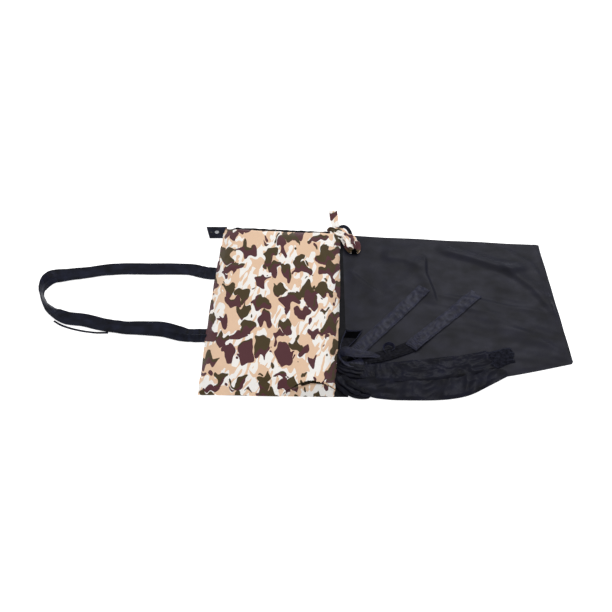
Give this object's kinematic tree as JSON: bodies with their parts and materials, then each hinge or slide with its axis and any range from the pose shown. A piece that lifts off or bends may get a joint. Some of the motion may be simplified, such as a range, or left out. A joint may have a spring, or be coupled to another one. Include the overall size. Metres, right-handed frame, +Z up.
{
  "type": "layout field blind",
  "caption": "Soft cover laid flat: padded camouflage panel with a neck strap, an eyelet tab, a long black leg cloth, two narrow ties and a wide gathered sash.",
  "frame": {"origin": "centre of the padded panel's underside, on the floor", "axes": "+X from the panel towards the leg cloth's end hem, +Y towards the panel's far edge, +Z up"},
  "size_m": [1.2785, 0.601, 0.0333],
  "materials": {
    "camo_cotton": "matte",
    "lining_black": "matte",
    "wadding": "matte",
    "strap_black": "satin",
    "webbing_black": "matte",
    "leg_polyester": "satin",
    "sash_satin": "satin",
    "eyelet_metal": "satin",
    "snap_metal": "satin"
  },
  "bodies": {
    "panel": {"panel_face": "camo_cotton", "panel_padding": "wadding", "back_lining": "lining_black", "neck_root_upper": "strap_black", "neck_root_lower": "strap_black", "tab_root": "webbing_black", "camo_bundle": "camo_cotton", "camo_tail_root": "camo_cotton", "camo_keeper_loop": "webbing_black"},
    "neck_strap": {"neck_strap_upper": "strap_black", "neck_strap_bend": "strap_black", "neck_strap_lower": "strap_black", "neck_loose_tape": "strap_black"},
    "snap_tab": {"snap_tab": "webbing_black", "eyelet_barrel": "eyelet_metal", "eyelet_washer": "eyelet_metal", "snap_stud": "snap_metal", "snap_post": "snap_metal"},
    "leg_cloth": {"leg_cloth": "leg_polyester", "hem_far": "leg_polyester", "hem_end": "leg_polyester", "seam_tape": "leg_polyester", "tie_a_root": "sash_satin", "tie_b_root": "sash_satin", "short_loop": "webbing_black", "curled_loop": "sash_satin", "sash_root": "sash_satin", "sash_knot": "sash_satin", "camo_knot": "camo_cotton", "camo_bow_loop": "camo_cotton"},
    "tie_a": {"tie_a": "sash_satin"},
    "tie_b": {"tie_b_under": "sash_satin", "tie_b_top": "sash_satin"},
    "sash": {"sash_waistband": "sash_satin", "sash_lower_band": "sash_satin", "sash_end_patch": "sash_satin"},
    "camo_tail": {"camo_tail": "camo_cotton"}
  },
  "joints": [
    {"name": "neck_strap_fold", "type": "hinge", "parent": "panel", "child": "neck_strap", "pos_m": [-0.176, 0.017, 0.0026], "axis": [0, 1, 0], "range_deg": [0, 115]},
    {"name": "snap_tab_fold", "type": "hinge", "parent": "panel", "child": "snap_tab", "pos_m": [-0.144, 0.259, 0.003], "axis": [0, 1, 0], "range_deg": [0, 130]},
    {"name": "leg_cloth_fold", "type": "hinge", "parent": "panel", "child": "leg_cloth", "pos_m": [0.17, -0.008, 0.002], "axis": [0, -1, 0], "range_deg": [0, 80]},
    {"name": "tie_a_lift", "type": "hinge", "parent": "leg_cloth", "child": "tie_a", "pos_m": [0.207, -0.119, 0.0043], "axis": [0.7322, -0.6811, 0], "range_deg": [0, 70]},
    {"name": "tie_b_lift", "type": "hinge", "parent": "leg_cloth", "child": "tie_b", "pos_m": [0.2458, -0.1511, 0.0043], "axis": [0.3162, -0.9487, 0], "range_deg": [0, 70]},
    {"name": "sash_lift", "type": "hinge", "parent": "leg_cloth", "child": "sash", "pos_m": [0.2385, -0.215, 0.0083], "axis": [0, -1, 0], "range_deg": [0, 70]},
    {"name": "camo_tail_lift", "type": "hinge", "parent": "panel", "child": "camo_tail", "pos_m": [0.153, 0.2802, 0.0032], "axis": [0.978, 0.2085, 0], "range_deg": [0, 80]}
  ]
}
